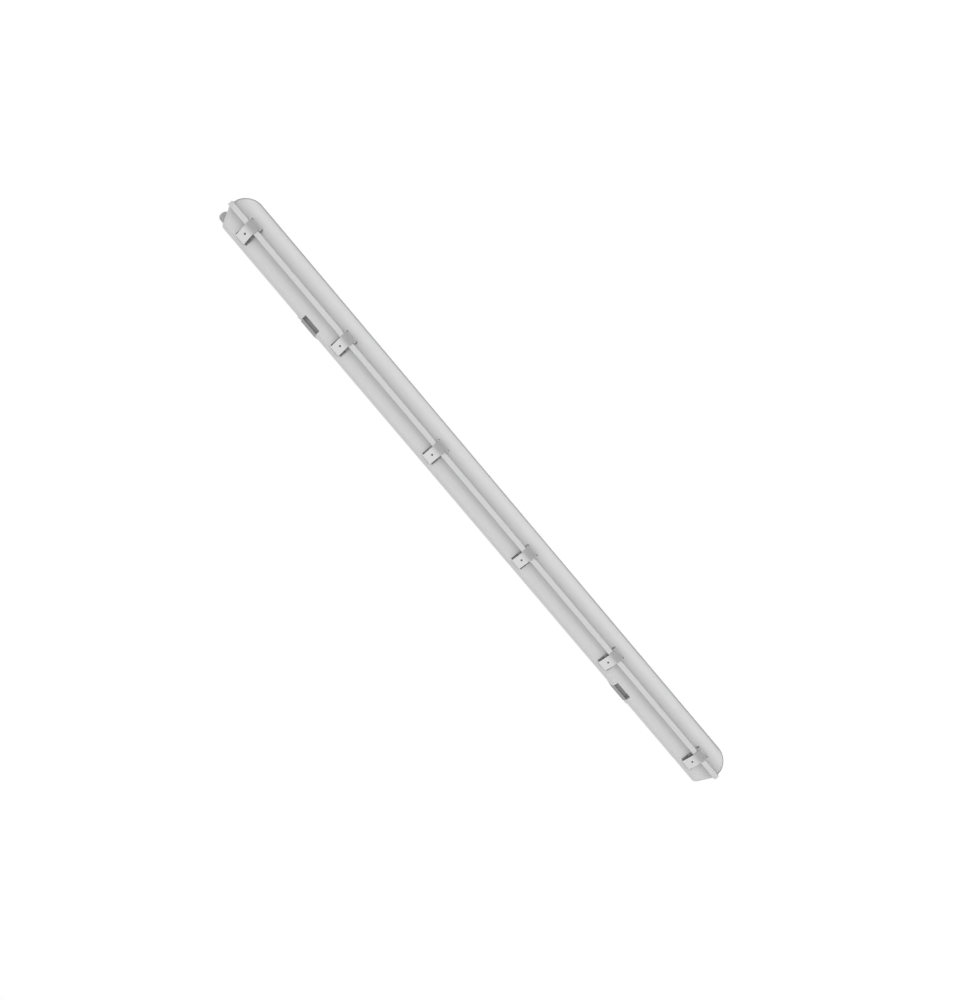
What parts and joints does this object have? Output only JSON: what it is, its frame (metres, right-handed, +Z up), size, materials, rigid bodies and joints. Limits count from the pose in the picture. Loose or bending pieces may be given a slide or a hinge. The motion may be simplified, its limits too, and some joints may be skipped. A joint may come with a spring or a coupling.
{
  "type": "vapor tight light fixture",
  "caption": "Long slim enclosed ceiling light with a rounded housing, frosted clip-on cover, hinged metal clips, cable gland and hook-on mounting straps.",
  "frame": {"origin": "middle of the ceiling plane that the two mounting straps lie against", "axes": "+X along the light towards the cable gland, +Z up into the ceiling, -Y the long side in the picture"},
  "size_m": [1.5756, 0.1024, 0.0913],
  "materials": {
    "housing_grey": "fine satin moulding, light grey",
    "frosted_cover": "frosted, softly diffusing",
    "stainless": "cold rolled, lightly brushed",
    "foam_seal": "foamed in place",
    "tray_white": "white powder coat",
    "board_white": "white solder mask",
    "zinc_screw": "zinc plated",
    "driver_white": "plain moulding",
    "terminal_white": "plain moulding",
    "lead_insulation": "wire insulation",
    "gland_grey": "satin moulding, mid grey",
    "seal_rubber": "matt"
  },
  "bodies": {
    "fixture": {"board_connector_1": "terminal_white", "board_connector_2": "terminal_white", "board_connector_3": "terminal_white", "board_connector_4": "terminal_white", "board_connector_5": "terminal_white", "board_screw_1": "zinc_screw", "board_screw_2": "zinc_screw", "board_screw_3": "zinc_screw", "board_screw_4": "zinc_screw", "board_screw_5": "zinc_screw", "board_screw_6": "zinc_screw", "bracket_far_end": "stainless", "bracket_gland_end": "stainless", "diffuser": "frosted_cover", "driver": "driver_white", "driver_screw_1": "zinc_screw", "driver_screw_2": "zinc_screw", "earth_lead": "lead_insulation", "feed_lead": "lead_insulation", "gasket": "foam_seal", "gear_tray": "tray_white", "gland_body": "gland_grey", "gland_locknut": "gland_grey", "gland_seal": "seal_rubber", "gland_washer": "seal_rubber", "housing": "housing_grey", "led_board_1": "board_white", "led_board_2": "board_white", "led_board_3": "board_white", "link_lead_1": "lead_insulation", "link_lead_2": "lead_insulation", "live_lead": "lead_insulation", "neutral_lead": "lead_insulation", "terminal_block": "terminal_white", "tray_screw_1": "zinc_screw", "tray_screw_2": "zinc_screw", "tray_screw_3": "zinc_screw", "tray_screw_4": "zinc_screw", "tray_screw_5": "zinc_screw", "tray_screw_6": "zinc_screw"},
    "clip_front_1": {"clip_front_1": "stainless"},
    "clip_front_2": {"clip_front_2": "stainless"},
    "clip_front_3": {"clip_front_3": "stainless"},
    "clip_front_4": {"clip_front_4": "stainless"},
    "clip_front_5": {"clip_front_5": "stainless"},
    "clip_front_6": {"clip_front_6": "stainless"},
    "clip_rear_1": {"clip_rear_1": "stainless"},
    "clip_rear_2": {"clip_rear_2": "stainless"},
    "clip_rear_3": {"clip_rear_3": "stainless"},
    "clip_rear_4": {"clip_rear_4": "stainless"},
    "clip_rear_5": {"clip_rear_5": "stainless"},
    "clip_rear_6": {"clip_rear_6": "stainless"},
    "gland_nut": {"gland_nut": "gland_grey"}
  },
  "joints": [
    {"name": "clip_front_1_hinge", "type": "hinge", "parent": "fixture", "child": "clip_front_1", "pos_m": [0.714, -0.0473, -0.0565], "axis": [1, 0, 0], "range_deg": [0, 150]},
    {"name": "clip_front_2_hinge", "type": "hinge", "parent": "fixture", "child": "clip_front_2", "pos_m": [0.4284, -0.0473, -0.0565], "axis": [1, 0, 0], "range_deg": [0, 150]},
    {"name": "clip_front_3_hinge", "type": "hinge", "parent": "fixture", "child": "clip_front_3", "pos_m": [0.1428, -0.0473, -0.0565], "axis": [1, 0, 0], "range_deg": [0, 150]},
    {"name": "clip_front_4_hinge", "type": "hinge", "parent": "fixture", "child": "clip_front_4", "pos_m": [-0.1428, -0.0473, -0.0565], "axis": [1, 0, 0], "range_deg": [0, 150]},
    {"name": "clip_front_5_hinge", "type": "hinge", "parent": "fixture", "child": "clip_front_5", "pos_m": [-0.4284, -0.0473, -0.0565], "axis": [1, 0, 0], "range_deg": [0, 150]},
    {"name": "clip_front_6_hinge", "type": "hinge", "parent": "fixture", "child": "clip_front_6", "pos_m": [-0.714, -0.0473, -0.0565], "axis": [1, 0, 0], "range_deg": [0, 150]},
    {"name": "clip_rear_1_hinge", "type": "hinge", "parent": "fixture", "child": "clip_rear_1", "pos_m": [0.714, 0.0473, -0.0565], "axis": [-1, 0, 0], "range_deg": [0, 150]},
    {"name": "clip_rear_2_hinge", "type": "hinge", "parent": "fixture", "child": "clip_rear_2", "pos_m": [0.4284, 0.0473, -0.0565], "axis": [-1, 0, 0], "range_deg": [0, 150]},
    {"name": "clip_rear_3_hinge", "type": "hinge", "parent": "fixture", "child": "clip_rear_3", "pos_m": [0.1428, 0.0473, -0.0565], "axis": [-1, 0, 0], "range_deg": [0, 150]},
    {"name": "clip_rear_4_hinge", "type": "hinge", "parent": "fixture", "child": "clip_rear_4", "pos_m": [-0.1428, 0.0473, -0.0565], "axis": [-1, 0, 0], "range_deg": [0, 150]},
    {"name": "clip_rear_5_hinge", "type": "hinge", "parent": "fixture", "child": "clip_rear_5", "pos_m": [-0.4284, 0.0473, -0.0565], "axis": [-1, 0, 0], "range_deg": [0, 150]},
    {"name": "clip_rear_6_hinge", "type": "hinge", "parent": "fixture", "child": "clip_rear_6", "pos_m": [-0.714, 0.0473, -0.0565], "axis": [-1, 0, 0], "range_deg": [0, 150]},
    {"name": "gland_nut_turn", "type": "hinge", "parent": "fixture", "child": "gland_nut", "pos_m": [0.769, 0, -0.0184], "axis": [1, 0, 0], "range_deg": [0, 720]}
  ]
}
